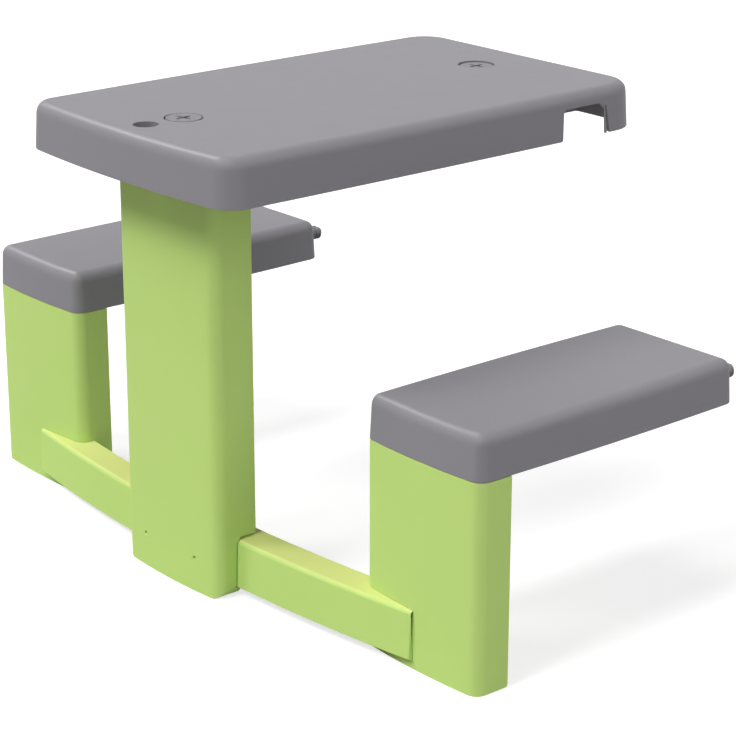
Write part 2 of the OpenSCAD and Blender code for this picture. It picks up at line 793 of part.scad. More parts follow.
module right_seat_screws() {
    seat_screws(1);
}

module bar_screw(side) {
    back = bow_at(bar_back_r, end_screw_x);
    color(steel) translate([side * end_screw_x, pocket_wall_y, bar_mid_z]) rotate([90, 0, 0])
        small_screw(pocket_wall_y - back + small_l - over);
}

module left_bar_screw() {
    bar_screw(-1);
}

module right_bar_screw() {
    bar_screw(1);
}

tabletop();
table_leg();
left_seat();
right_seat();
left_seat_leg();
right_seat_leg();
crossbar();
near_table_screw();
far_table_screw();
left_wall_studs();
right_wall_studs();
leg_bar_screws();
left_seat_screws();
right_seat_screws();
left_bar_screw();
right_bar_screw();
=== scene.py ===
"""Looks of a child's picnic table with two bench seats that is fixed to a low wall.

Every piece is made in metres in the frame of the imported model. Sizes are held in millimetres, as on a
drawing.
"""

import logging
import math
from dataclasses import dataclass
from enum import Enum

import bmesh
import bpy
from mathutils import Euler, Matrix, Vector


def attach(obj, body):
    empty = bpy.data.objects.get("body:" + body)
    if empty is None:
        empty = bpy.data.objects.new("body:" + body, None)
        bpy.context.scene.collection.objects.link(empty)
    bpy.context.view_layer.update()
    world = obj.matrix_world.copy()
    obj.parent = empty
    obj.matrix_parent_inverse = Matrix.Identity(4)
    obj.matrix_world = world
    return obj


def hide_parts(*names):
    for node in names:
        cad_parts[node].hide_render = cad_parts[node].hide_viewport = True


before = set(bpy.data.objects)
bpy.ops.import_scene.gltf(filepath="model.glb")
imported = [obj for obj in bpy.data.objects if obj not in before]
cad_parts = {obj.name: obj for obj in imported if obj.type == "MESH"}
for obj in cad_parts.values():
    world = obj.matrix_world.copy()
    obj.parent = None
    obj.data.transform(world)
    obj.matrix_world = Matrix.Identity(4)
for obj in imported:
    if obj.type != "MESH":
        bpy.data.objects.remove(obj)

MM = 0.001
SEAT_X_MM = 333.45  # From the middle of the table to the middle of a seat
SEAT_SCREW_STEP_MM = 82.25  # Between the two screws that hold a seat on its leg
SAME_POINT_MM = 0.002  # Points this close are one point of the solid
SHORTEST_EDGE_MM = 0.25  # Shorter edges are closed, because no edge radius fits them
FLAT_DEG = 0.08  # Faces that differ less are one flat face
EDGE_SEGMENTS = 2  # Steps in which an edge radius is drawn
LOG = logging.getLogger("picnic_table")
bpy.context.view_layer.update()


class Side(Enum):
    """Which of the two mirrored halves a piece belongs to."""

    LEFT = -1
    RIGHT = 1

    @property
    def word(self) -> str:
        """Return the side as it stands in node names."""
        return self.name.lower()


class Tone(Enum):
    """Colours of the mouldings, the screws and the studio, as sRGB hex values."""

    SLATE_GREY = "#8d8b90"
    SCREW_GREY = "#89878b"
    LIME = "#c7e584"
    # Paler, yellower lime for faces that point up: painted light from above
    PAINTED_LIGHT_LIME = "#d3dd85"
    ZINC = "#c3c6ca"
    STUDIO_WHITE = "#bcbcbc"


class Slot(Enum):
    """Material slots of the record."""

    GREY = "grey_plastic"
    GREEN = "green_plastic"
    GREY_SCREW = "grey_screw_plastic"
    STEEL = "screw_steel"


def linear(tone: Tone, share: float = 1.0) -> tuple[float, float, float, float]:
    """Turn an sRGB hex value into linear colour.

    Args:
        tone: The colour.
        share: Factor on its brightness.

    Returns:
        Red, green, blue and alpha, ready for a colour socket.
    """
    parts = [int(tone.value[i : i + 2], 16) / 255 for i in (1, 3, 5)]
    raised = [p / 12.92 if p <= 0.04045 else ((p + 0.055) / 1.055) ** 2.4 for p in parts]
    return (*(share * p for p in raised), 1.0)


def add_node(
    tree: bpy.types.NodeTree,
    kind: str,
    settings: dict | None = None,
    values: dict | None = None,
    links: dict | None = None,
) -> bpy.types.Node:
    """Add a node with its settings and links.

    Args:
        tree: Node tree that gets the node.
        kind: Blender's type name of the node.
        settings: Properties of the node.
        values: Unlinked values, by input name or number.
        links: Output socket, or list of them, by the input name or number that each feeds.

    Returns:
        The new node.
    """
    node = tree.nodes.new(kind)
    for key, value in (settings or {}).items():
        setattr(node, key, value)
    for key, value in (values or {}).items():
        node.inputs[key].default_value = value
    for key, sockets in (links or {}).items():
        for socket in sockets if isinstance(sockets, list) else [sockets]:
            tree.links.new(socket, node.inputs[key])
    return node


def blank_material(name: str) -> bpy.types.Material:
    """Make a material with no nodes yet.

    Args:
        name: Its name.

    Returns:
        The new material.
    """
    material = bpy.data.materials.new(name)
    material.use_nodes = True
    material.node_tree.nodes.clear()
    return material


@dataclass(frozen=True)
class MouldedPlastic:
    """Injection-moulded thermoplastic from a spark-eroded mould.

    The eye gets a soft satin sheen with no sharp reflections, a fine even grain that breaks up highlights,
    and a hardly visible cloudiness where the melt flowed and cooled at different speeds.

    Attributes:
        name: What the plastic is and how it was made.
        tone: Its colour.
        painted_light_tone: Paler colour painted on the faces that point up, as painted light from above.
        roughness: How far it spreads its sheen.
        roughness_swing: How much that varies with the ripples.
        ior: Refractive index of the plastic.
        skin_roughness: How far the polished share spreads its sheen.
        grain_depth_mm: Height of the grain.
        ripple_mm: Size of the slow waves of the surface, and ripple_depth_mm their height.
        cloud_mm: Size of the clouds in the colour.
        cloud_swing: How much the colour varies in them.
        painted_light_range: How far up a face points where the painted light begins, and where it is full.
    """

    name: str
    tone: Tone
    painted_light_tone: Tone | None = None
    roughness: float = 0.5
    roughness_swing: float = 0.04
    ior: float = 1.49
    shine: float = 0.03  # The fine texture scatters most of the clear shine of the bare plastic
    skin: float = 0.15  # Share of the surface that copied the polished steel between the texture's grains
    skin_roughness: float = 0.4
    grain_mm: float = 0.9  # The real texture is about 0.1 mm, too fine to show, and is drawn coarser
    grain_depth_mm: float = 0.03
    ripple_mm: float = 24.0
    ripple_depth_mm: float = 0.03
    cloud_mm: float = 90.0
    cloud_swing: float = 0.015
    painted_light_range: tuple[float, float] = (0.55, 0.97)

    def build(self) -> bpy.types.Material:
        """Build the finish from its patterns.

        Returns:
            The material.
        """
        material = blank_material(self.name)
        tree = material.node_tree
        coords = add_node(tree, "ShaderNodeTexCoord")
        place = coords.outputs["Object"]
        cloud, ripple, grain = (
            add_node(
                tree,
                "ShaderNodeTexNoise",
                values={"Scale": 1 / (size_mm * MM), "Detail": detail},
                links={"Vector": place},
            ).outputs[0]
            for size_mm, detail in ((self.cloud_mm, 3.0), (self.ripple_mm, 1.0), (self.grain_mm, 2.0))
        )
        colour = self.clouded(tree, self.tone, cloud)
        # Faces that point up are mixed towards a paler colour: painted light from above
        if self.painted_light_tone:
            height = add_node(tree, "ShaderNodeSeparateXYZ", links={0: coords.outputs["Normal"]})
            upward = add_node(
                tree,
                "ShaderNodeMapRange",
                {"interpolation_type": "SMOOTHSTEP"},
                {"From Min": self.painted_light_range[0], "From Max": self.painted_light_range[1]},
                {"Value": height.outputs["Z"]},
            )
            pale = self.clouded(tree, self.painted_light_tone, cloud)
            colour = add_node(
                tree,
                "ShaderNodeMix",
                {"data_type": "RGBA"},
                links={0: upward.outputs[0], 6: colour, 7: pale},
            ).outputs[2]
        swing = self.roughness_swing
        gloss = add_node(
            tree,
            "ShaderNodeMapRange",
            values={"To Min": self.roughness - swing, "To Max": self.roughness + swing},
            links={"Value": ripple},
        )
        wave = add_node(
            tree,
            "ShaderNodeBump",
            values={"Strength": 0.6, "Distance": self.ripple_depth_mm * MM},
            links={"Height": ripple},
        )
        bump = add_node(
            tree,
            "ShaderNodeBump",
            values={"Strength": 0.5, "Distance": self.grain_depth_mm * MM},
            links={"Height": grain, "Normal": wave.outputs[0]},
        )
        shader = add_node(
            tree,
            "ShaderNodeBsdfPrincipled",
            values={
                "IOR": self.ior,
                "Specular IOR Level": self.shine,
                "Coat Weight": self.skin,
                "Coat Roughness": self.skin_roughness,
            },
            links={"Base Color": colour, "Roughness": gloss.outputs[0], "Normal": bump.outputs[0]},
        )
        add_node(tree, "ShaderNodeOutputMaterial", links={"Surface": shader.outputs[0]})
        return material

    def clouded(
        self, tree: bpy.types.NodeTree, tone: Tone, cloud: bpy.types.NodeSocket
    ) -> bpy.types.NodeSocket:
        """Vary a colour slightly from place to place.

        Args:
            tree: Node tree of the material.
            tone: The colour.
            cloud: Pattern that it follows.

        Returns:
            Socket with the varied colour.
        """
        ends = {6: linear(tone, 1 - self.cloud_swing), 7: linear(tone, 1 + self.cloud_swing)}
        return add_node(tree, "ShaderNodeMix", {"data_type": "RGBA"}, ends, {0: cloud}).outputs[2]


@dataclass(frozen=True)
class ZincPlatedSteel:
    """Cold-formed steel screws with a bright zinc plating.

    The eye gets a cool pale metal with a slightly streaky, half-dull reflection.

    Attributes:
        name: What the metal is and how it was finished.
        tone: Its colour.
        shade: Brightness of the darker streaks as a share of the colour's.
        roughness: Its least and greatest value over the streaks.
        streak_mm: Width of a streak, and streak_depth_mm its depth.
    """

    name: str
    tone: Tone = Tone.ZINC
    shade: float = 0.86
    roughness: tuple[float, float] = (0.24, 0.42)
    streak_mm: float = 1.6
    streak_depth_mm: float = 0.02

    def build(self) -> bpy.types.Material:
        """Build the finish from its streaks.

        Returns:
            The material.
        """
        material = blank_material(self.name)
        tree = material.node_tree
        place = add_node(tree, "ShaderNodeTexCoord").outputs["Object"]
        streak = add_node(
            tree,
            "ShaderNodeTexNoise",
            values={"Scale": 1 / (self.streak_mm * MM), "Detail": 3.0},
            links={"Vector": place},
        )
        tint = add_node(
            tree,
            "ShaderNodeMix",
            {"data_type": "RGBA"},
            {6: linear(self.tone, self.shade), 7: linear(self.tone)},
            {0: streak.outputs[0]},
        )
        gloss = add_node(
            tree,
            "ShaderNodeMapRange",
            values={"To Min": self.roughness[0], "To Max": self.roughness[1]},
            links={"Value": streak.outputs[0]},
        )
        bump = add_node(
            tree,
            "ShaderNodeBump",
            values={"Strength": 0.3, "Distance": self.streak_depth_mm * MM},
            links={"Height": streak.outputs[0]},
        )
        shader = add_node(
            tree,
            "ShaderNodeBsdfPrincipled",
            values={"Metallic": 1.0},
            links={"Base Color": tint.outputs[2], "Roughness": gloss.outputs[0], "Normal": bump.outputs[0]},
        )
        add_node(tree, "ShaderNodeOutputMaterial", links={"Surface": shader.outputs[0]})
        return material


@dataclass(frozen=True)
class Finishes:
    """The finishes of the whole object."""

    grey: bpy.types.Material
    green: bpy.types.Material
    screw: bpy.types.Material
    steel: bpy.types.Material

    @classmethod
    def make(cls) -> "Finishes":
        """Build each finish once.

        Returns:
            The finishes of the object.
        """
        return cls(
            grey=MouldedPlastic("moulded_polypropylene_grey", Tone.SLATE_GREY).build(),
            # The legs' moulds were less polished than those of the boards
            green=MouldedPlastic(
                # The paler lime on the faces that point up is painted light from above
                "moulded_polypropylene_lime", Tone.LIME, Tone.PAINTED_LIGHT_LIME, skin=0.07
            ).build(),
            # Glass-filled polyamide is a little duller and greyer than the boards that it holds
            screw=MouldedPlastic(
                "moulded_polyamide_grey", Tone.SCREW_GREY, roughness=0.55, ior=1.53
            ).build(),
            steel=ZincPlatedSteel("zinc_plated_steel").build(),
        )


def as_object(name: str, bm: bmesh.types.BMesh) -> bpy.types.Object:
    """Put a finished edit mesh into the scene.

    Args:
        name: Name of the piece.
        bm: Edit mesh, freed here.

    Returns:
        The new object.
    """
    mesh = bpy.data.meshes.new(name)
    bm.to_mesh(mesh)
    bm.free()
    obj = bpy.data.objects.new(name, mesh)
    bpy.context.scene.collection.objects.link(obj)
    return obj


def settle(obj: bpy.types.Object) -> bpy.types.Object:
    """Turn an object and its modifiers into a plain mesh.

    Args:
        obj: Object with live modifiers.

    Returns:
        The same object, with its evaluated mesh and no modifier.
    """
    graph = bpy.context.evaluated_depsgraph_get()
    graph.update()
    mesh = bpy.data.meshes.new_from_object(
        obj.evaluated_get(graph), preserve_all_data_layers=True, depsgraph=graph
    )
    obj.modifiers.clear()
    obj.data = mesh
    mesh.name = obj.name
    return obj


def round_edges(obj: bpy.types.Object, edge_mm: float, sharp_deg: float = 33.0) -> bpy.types.Object:
    """Give a piece the small edge radii of its mould and smooth shading.

    Args:
        obj: Piece with sharp edges.
        edge_mm: Width of the radii.
        sharp_deg: Least angle between two faces whose edge gets a radius.

    Returns:
        The same piece, with a plain mesh.
    """
    for face in obj.data.polygons:
        face.use_smooth = True
    bevel = obj.modifiers.new("edge radii", "BEVEL")
    bevel.width = edge_mm * MM
    bevel.segments = EDGE_SEGMENTS
    bevel.limit_method = "ANGLE"
    bevel.angle_limit = math.radians(sharp_deg)
    bevel.use_clamp_overlap = False  # One short edge would narrow all the radii of the piece
    bevel.miter_outer = "MITER_ARC"
    weighted = obj.modifiers.new("flat faces first", "WEIGHTED_NORMAL")
    weighted.weight = 80
    weighted.keep_sharp = True
    return settle(obj)


def solid_copy(node: str) -> bpy.types.Object:
    """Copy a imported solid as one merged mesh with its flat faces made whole.

    Args:
        node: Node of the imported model.

    Returns:
        The copy, with sharp edges.
    """
    bm = bmesh.new()
    bm.from_mesh(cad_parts[node].data)
    for gap_mm in (SAME_POINT_MM, SHORTEST_EDGE_MM):
        bmesh.ops.remove_doubles(bm, verts=bm.verts, dist=gap_mm * MM)
        bmesh.ops.dissolve_limit(bm, angle_limit=math.radians(FLAT_DEG), verts=bm.verts, edges=bm.edges)
    return as_object(node + "_moulding", bm)


def lathe(profile: list[tuple[float, float]], steps: int = 64) -> bmesh.types.BMesh:
    """Turn a closed half profile about the Z axis.

    Args:
        profile: Radius and height of each point in millimetres, starting and ending on the axis.
        steps: Number of faces round it.

    Returns:
        A closed edit mesh in metres.
    """
    bm = bmesh.new()
    rings = []
    for radius, height in profile:
        turns = [2 * math.pi * i / steps for i in range(steps)] if radius else [0.0]
        ring = [(radius * MM * math.cos(t), radius * MM * math.sin(t), height * MM) for t in turns]
        rings.append([bm.verts.new(place) for place in ring])
    for low, high in zip(rings, rings[1:]):
        for i, j in zip(range(steps), range(1, steps + 1)):
            corners = [low[i % len(low)], low[j % len(low)], high[j % len(high)], high[i % len(high)]]
            bm.faces.new(list(dict.fromkeys(corners)))
    bmesh.ops.recalc_face_normals(bm, faces=bm.faces)
    return bm


def thicken(bm: bmesh.types.BMesh, ring: list[bmesh.types.BMVert], way: tuple[float, float, float]) -> None:
    """Close a ring of points with a face and give it thickness.

    Args:
        bm: Edit mesh that holds the ring.
        ring: Points in order round the face.
        way: Direction and length of the thickness, in metres.
    """
    sheet = bmesh.ops.extrude_face_region(bm, geom=[bm.faces.new(ring)])
    lifted = [v for v in sheet["geom"] if isinstance(v, bmesh.types.BMVert)]
    bmesh.ops.translate(bm, verts=lifted, vec=way)
    bmesh.ops.recalc_face_normals(bm, faces=bm.faces)


def merged(obj: bpy.types.Object, extras: list[bpy.types.Mesh]) -> bpy.types.Object:
    """Join further meshes to a piece.

    Args:
        obj: The piece.
        extras: Meshes in the same frame, with their shading.

    Returns:
        The same piece with all the faces.
    """
    bm = bmesh.new()
    bm.from_mesh(obj.data)
    for extra in extras:
        bm.from_mesh(extra)
    bm.to_mesh(obj.data)
    bm.free()
    return obj


def dress(obj: bpy.types.Object, material: bpy.types.Material, slot: Slot, node: str) -> bpy.types.Object:
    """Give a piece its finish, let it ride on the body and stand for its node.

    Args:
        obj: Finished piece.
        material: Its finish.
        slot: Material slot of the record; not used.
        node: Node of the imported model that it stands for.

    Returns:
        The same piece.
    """
    obj.data.materials.clear()
    obj.data.materials.append(material)
    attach(obj, "root")
    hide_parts(node)
    LOG.info("%s: %d faces", obj.name, len(obj.data.polygons))
    return obj


class NodeForm:
    """A Geometry Nodes tree that makes one kind of repeated or spiral form."""

    BEVEL_DEG = 40.0  # Least angle of an edge that gets a radius
    SHARP_DEG = 50.0  # Least angle of an edge that stays sharp in the shading

    def __init__(self, name: str, inputs: dict[str, str]) -> None:
        """Open the tree with its named inputs.

        Args:
            name: Name of the form.
            inputs: Socket type of each input, by name.
        """
        self.tree = bpy.data.node_groups.new(name, "GeometryNodeTree")
        for label, kind in {**inputs, "Finish": "Material"}.items():
            self.tree.interface.new_socket(label, in_out="INPUT", socket_type="NodeSocket" + kind)
        self.tree.interface.new_socket("Geometry", in_out="OUTPUT", socket_type="NodeSocketGeometry")
        self.given = self.tree.nodes.new("NodeGroupInput").outputs

    def add(
        self, kind: str, settings: dict | None = None, values: dict | None = None, links: dict | None = None
    ) -> bpy.types.bpy_prop_collection:
        """Add a node and return its outputs; a link may be the name of one of the tree's inputs."""
        sources = {end: self.given[s] if isinstance(s, str) else s for end, s in (links or {}).items()}
        return add_node(self.tree, kind, settings, values, sources).outputs

    def raised(self, geometry: bpy.types.NodeSocket, length: str, share: float) -> bpy.types.NodeSocket:
        """Move a geometry along Z.

        Args:
            geometry: What moves.
            length: Input of the tree that the way is measured by.
            share: The way as a share of it.

        Returns:
            Socket with the moved geometry.
        """
        rise = self.add("ShaderNodeMath", {"operation": "MULTIPLY"}, {1: share}, {0: length})[0]
        way = self.add("ShaderNodeCombineXYZ", links={"Z": rise})[0]
        return self.add("GeometryNodeTransform", links={"Geometry": geometry, "Translation": way})[0]

    def close(self, geometry: bpy.types.NodeSocket) -> None:
        """Realize the geometry, give it its finish and end the tree.

        Args:
            geometry: All that the tree has made.
        """
        real = self.add("GeometryNodeRealizeInstances", links={0: geometry})[0]
        smooth = self.add("GeometryNodeSetShadeSmooth", links={0: real})[0]
        done = self.add("GeometryNodeSetMaterial", links={"Geometry": smooth, "Material": "Finish"})[0]
        self.tree.links.new(done, self.tree.nodes.new("NodeGroupOutput").inputs[0])

    def mesh(self, values: dict, material: bpy.types.Material, bevel_mm: float = 0.0) -> bpy.types.Mesh:
        """Run the tree once and return its result as a plain mesh.

        Args:
            values: Value of each input, by name, in metres.
            material: Finish of the form.
            bevel_mm: Width of small edge radii, or none.

        Returns:
            The mesh, shaded smooth between its sharp edges.
        """
        name = self.tree.name
        obj = as_object(name, bmesh.new())
        modifier = obj.modifiers.new(name, "NODES")
        modifier.node_group = self.tree
        marks = {s.name: s.identifier for s in self.tree.interface.items_tree if s.in_out == "INPUT"}
        for label, value in {**values, "Finish": material}.items():
            modifier[marks[label]] = value
        if bevel_mm:
            bevel = obj.modifiers.new("edge radii", "BEVEL")
            bevel.width, bevel.segments = bevel_mm * MM, EDGE_SEGMENTS
            bevel.limit_method, bevel.angle_limit = "ANGLE", math.radians(self.BEVEL_DEG)
        mesh = settle(obj).data
        bpy.data.objects.remove(obj)
        mesh.set_sharp_from_angle(angle=math.radians(self.SHARP_DEG))
        return mesh


class ThreadForm(NodeForm):
    """A coarse rounded thread on a core with a tapered tip, along +Z from the origin."""

    TURN_STEPS = 40
    RIDGE_SIDES = 14
    CORE_SIDES = 56
    RUN_OUT = 0.06  # Share of the ridge's way over which it grows at one end and fades at the other
    THIN = 0.1  # Its scale where it starts and ends

    def __init__(self) -> None:
        """Lay out the spiral ridge, the core and the tip."""
        thread = ("Pitch", "Turns", "Core Radius", "Ridge Height", "Ridge Half Width")
        sizes = (*thread, "Length", "Tip Radius", "Tip Length")
        super().__init__("rounded_thread", dict.fromkeys(sizes, "Float"))
        height = self.add("ShaderNodeMath", {"operation": "MULTIPLY"}, links={0: "Pitch", 1: "Turns"})[0]
        spiral = self.add(
            "GeometryNodeCurveSpiral",
            values={"Resolution": self.TURN_STEPS},
            links={
                "Rotations": "Turns",
                "Start Radius": "Core Radius",
                "End Radius": "Core Radius",
                "Height": height,
            },
        )[0]
        upright = self.add("GeometryNodeSetCurveNormal", {"mode": "Z_UP"}, links={"Curve": spiral})[0]
        unit = {"Resolution": self.RIDGE_SIDES, "Radius": 1.0}
        circle = self.add("GeometryNodeCurvePrimitiveCircle", values=unit)[0]
        oval = self.add("ShaderNodeCombineXYZ", links={"X": "Ridge Height", "Y": "Ridge Half Width"})[0]
        section = self.add("GeometryNodeTransform", links={"Geometry": circle, "Scale": oval})[0]
        along = self.add("GeometryNodeSplineParameter")["Factor"]
        ends = ("From Min", "From Max", "To Min", "To Max")
        growth = (0.0, self.RUN_OUT, self.THIN, 1.0)
        fading = (1.0 - self.RUN_OUT, 1.0, 1.0, self.THIN)
        slopes = {}
        for number, slope in enumerate((growth, fading)):
            values = dict(zip(ends, slope))
            slopes[number] = self.add("ShaderNodeMapRange", values=values, links={"Value": along})[0]
        scale = self.add("ShaderNodeMath", {"operation": "MINIMUM"}, links=slopes)[0]
        ridge = self.add(
            "GeometryNodeCurveToMesh",
            values={"Fill Caps": True},
            links={"Curve": upright, "Profile Curve": section, "Scale": scale},
        )[0]
        core = self.add(
            "GeometryNodeMeshCylinder",
            values={"Vertices": self.CORE_SIDES},
            links={"Radius": "Core Radius", "Depth": "Length"},
        )[0]
        core = self.raised(core, "Length", 0.5)
        tip = self.add(
            "GeometryNodeMeshCone",
            values={"Vertices": self.CORE_SIDES},
            links={"Radius Top": "Tip Radius", "Radius Bottom": "Core Radius", "Depth": "Tip Length"},
        )[0]
        tip = self.raised(tip, "Length", 1.0)
        self.close(self.add("GeometryNodeJoinGeometry", links={0: [ridge, core, tip]})[0])


class ScrewRowForm(NodeForm):
    """A row of equal pan-head screws with cross recesses, each along +Z from its head's inner face."""

    HEAD_SIDES = 32
    SHANK_SIDES = 24

    def __init__(self) -> None:
        """Lay out one screw and repeat it along a line."""
        recess = ("Recess Span", "Recess Width", "Recess Depth")
        sizes = ("Head Radius", "Head Height", "Shank Radius", "Length", *recess)
        places = {"Count": "Int", "Start": "Vector", "Step": "Vector", "Turn": "Rotation"}
        super().__init__("pan_head_screw_row", {**dict.fromkeys(sizes, "Float"), **places})
        head = self.add(
            "GeometryNodeMeshCylinder",
            values={"Vertices": self.HEAD_SIDES},
            links={"Radius": "Head Radius", "Depth": "Head Height"},
        )[0]
        head = self.raised(head, "Head Height", -0.5)
        deep = self.add("ShaderNodeMath", {"operation": "MULTIPLY"}, {1: 2.0}, {0: "Recess Depth"})[0]
        span, width = "Recess Span", "Recess Width"
        bars = []
        for across, along in ((span, width), (width, span)):
            size = self.add("ShaderNodeCombineXYZ", links={"X": across, "Y": along, "Z": deep})[0]
            bars.append(self.add("GeometryNodeMeshCube", links={"Size": size})[0])
        both = self.add("GeometryNodeJoinGeometry", links={0: bars})[0]
        cross = self.raised(both, "Head Height", -1.0)
        head = self.add(
            "GeometryNodeMeshBoolean",
            {"operation": "DIFFERENCE", "solver": "EXACT"},
            {"Self Intersection": True},
            {"Mesh 1": head, "Mesh 2": cross},
        )[0]
        shank = self.add(
            "GeometryNodeMeshCylinder",
            values={"Vertices": self.SHANK_SIDES},
            links={"Radius": "Shank Radius", "Depth": "Length"},
        )[0]
        shank = self.raised(shank, "Length", 0.5)
        screw = self.add("GeometryNodeJoinGeometry", links={0: [head, shank]})[0]
        line = self.add(
            "GeometryNodeMeshLine",
            links={"Count": "Count", "Start Location": "Start", "Offset": "Step"},
        )[0]
        row = self.add(
            "GeometryNodeInstanceOnPoints",
            links={"Points": line, "Instance": screw, "Rotation": "Turn"},
        )[0]
        self.close(row)


class PinMarkForm(NodeForm):
    """A grid of the shallow round marks that ejector pins leave on the hidden face of a moulding."""

    MARK_SIDES = 32

    def __init__(self) -> None:
        """Lay out the grid and one mark."""
        sizes = ("Size X", "Size Y", "Mark Radius", "Mark Height")
        places = {"Columns": "Int", "Rows": "Int", "Middle": "Vector"}
        super().__init__("ejector_pin_marks", {**dict.fromkeys(sizes, "Float"), **places})
        grid = self.add(
            "GeometryNodeMeshGrid",
            links={"Size X": "Size X", "Size Y": "Size Y", "Vertices X": "Columns", "Vertices Y": "Rows"},
        )[0]
        placed = self.add("GeometryNodeTransform", links={"Geometry": grid, "Translation": "Middle"})[0]
        disc = self.add(
            "GeometryNodeMeshCylinder",
            values={"Vertices": self.MARK_SIDES},
            links={"Radius": "Mark Radius", "Depth": "Mark Height"},
        )[0]
        marks = self.add("GeometryNodeInstanceOnPoints", links={"Points": placed, "Instance": disc})[0]
        self.close(marks)


@dataclass
class Moulding:
    """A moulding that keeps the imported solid's shape and gets the small radii of its mould.

    Attributes:
        node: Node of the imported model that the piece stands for.
        slot: Material slot of the record.
        edge_mm: Width of the radii along its edges.
    """

    node: str = ""
    slot: Slot = Slot.GREY
    edge_mm: float = 0.6

    def extras(self, material: bpy.types.Material) -> list[bpy.types.Mesh]:
        """Return the meshes that are moulded on; a plain moulding has none."""
        return []

    def build(self, material: bpy.types.Material) -> bpy.types.Object:
        """Round the solid's edges and add what is moulded on.

        Args:
            material: Its finish.

        Returns:
            The finished piece.
        """
        obj = round_edges(solid_copy(self.node), self.edge_mm)
        return dress(merged(obj, self.extras(material)), material, self.slot, self.node)


@dataclass
class Board(Moulding):
    """A board with a skirt and ribs, and the marks of the ejector pins on its underside.

    Attributes:
        roof_z_mm: Height of the underside between the ribs.
        bay_mm: Distance between two neighbouring rows of pin marks, across and along.
        rows: Number of those rows.
        marks_x_mm: Middle of the pin marks across the table.
        marks_y_mm: Middle of the pin marks along the table.
        mark_r_mm: Radius of a mark.
        mark_h_mm: Height of a mark, most of which lies inside the board.
        mark_proud_mm: How much of it stands out of the underside.
    """

    roof_z_mm: float = 491.6
    bay_mm: tuple[float, float] = (81.3, 68.02)
    rows: tuple[int, int] = (4, 5)
    marks_x_mm: float = 0.0
    marks_y_mm: float = -6.1
    mark_r_mm: float = 4.0
    mark_h_mm: float = 0.8
    mark_proud_mm: float = 0.25

    def extras(self, material: bpy.types.Material) -> list[bpy.types.Mesh]:
        """Return the pin marks of the underside."""
        return [self.marks(material)]

    def marks(self, material: bpy.types.Material) -> bpy.types.Mesh:
        """Set the pin marks out on their grid.

        Args:
            material: Finish of the board.

        Returns:
            Mesh of all the marks.
        """
        height = self.roof_z_mm + self.mark_h_mm / 2 - self.mark_proud_mm
        return PinMarkForm().mesh(
            {
                "Size X": self.bay_mm[0] * (self.rows[0] - 1) * MM,
                "Size Y": self.bay_mm[1] * (self.rows[1] - 1) * MM,
                "Mark Radius": self.mark_r_mm * MM,
                "Mark Height": self.mark_h_mm * MM,
                "Columns": self.rows[0],
                "Rows": self.rows[1],
                "Middle": (self.marks_x_mm * MM, self.marks_y_mm * MM, height * MM),
            },
            material,
        )


@dataclass
class Tabletop(Board):
    """The tabletop, whose skirt has the notches and spring tongues for the wall.

    Attributes:
        web_x_mm: Where the webs behind the slits meet the skirt.
        web_y_mm: Their near face.
        web_z_mm: Their lower and upper end.
        web_reach_mm: How far they stand out from the skirt.
        web_shoulder_mm: How far their upper corner stays clear of the board's round edge.
        web_wall_mm: Their thickness.
        web_edge_mm: Radius of their edges.
    """

    node: str = "tabletop"
    web_x_mm: float = 172.8
    web_y_mm: float = 233.5
    web_z_mm: tuple[float, float] = (445.8, 492.2)
    web_reach_mm: float = 7.0
    web_shoulder_mm: float = 6.2
    web_wall_mm: float = 1.8
    web_edge_mm: float = 0.3

    def extras(self, material: bpy.types.Material) -> list[bpy.types.Mesh]:
        """Return the pin marks of the underside and the webs behind the slits."""
        return [self.marks(material), self.web(Side.LEFT), self.web(Side.RIGHT)]

    def web(self, side: Side) -> bpy.types.Mesh:
        """Build the small web that stiffens the skirt's edge behind a spring tongue.

        Args:
            side: Long side that it belongs to.

        Returns:
            Its mesh.
        """
        bm = bmesh.new()
        low, high = self.web_z_mm
        wall, reach = self.web_x_mm, self.web_x_mm - self.web_reach_mm
        neck, shoulder = wall - self.web_shoulder_mm, high - 2 * self.web_shoulder_mm
        outline = [(wall, low), (reach, low), (reach, high), (neck, high), (wall, shoulder)]
        ring = [bm.verts.new((side.value * x * MM, self.web_y_mm * MM, z * MM)) for x, z in outline]
        thicken(bm, ring, (0, self.web_wall_mm * MM, 0))
        plate = round_edges(as_object("tongue_web", bm), self.web_edge_mm)
        mesh = plate.data
        bpy.data.objects.remove(plate)
        return mesh


@dataclass
class Seat(Board):
    """A bench seat, a smaller board of the tabletop's kind.

    Attributes:
        side: The half that it belongs to.
    """

    side: Side = Side.RIGHT
    roof_z_mm: float = 262.5
    bay_mm: tuple[float, float] = (41.125, 51.8)
    marks_y_mm: float = -1.05
    mark_r_mm: float = 3.0

    def __post_init__(self) -> None:
        """Take the node's name and the place from the side."""
        self.node = self.side.word + "_seat"
        self.marks_x_mm = self.side.value * SEAT_X_MM


@dataclass
class TableLeg(Moulding):
    """The tall front leg with its shelves, ribs and the slot for the crossbar."""

    node: str = "table_leg"
    slot: Slot = Slot.GREEN


@dataclass
class SeatLeg(Moulding):
    """A short leg with its neck inside the seat and the pocket for the crossbar.

    Attributes:
        side: The half that it belongs to.
    """

    slot: Slot = Slot.GREEN
    edge_mm: float = 0.4
    side: Side = Side.RIGHT

    def __post_init__(self) -> None:
        """Take the node's name from the side."""
        self.node = self.side.word + "_seat_leg"


@dataclass
class Crossbar(Moulding):
    """The bowed channel that joins the three legs near the floor."""

    node: str = "crossbar"
    slot: Slot = Slot.GREEN
    edge_mm: float = 0.8


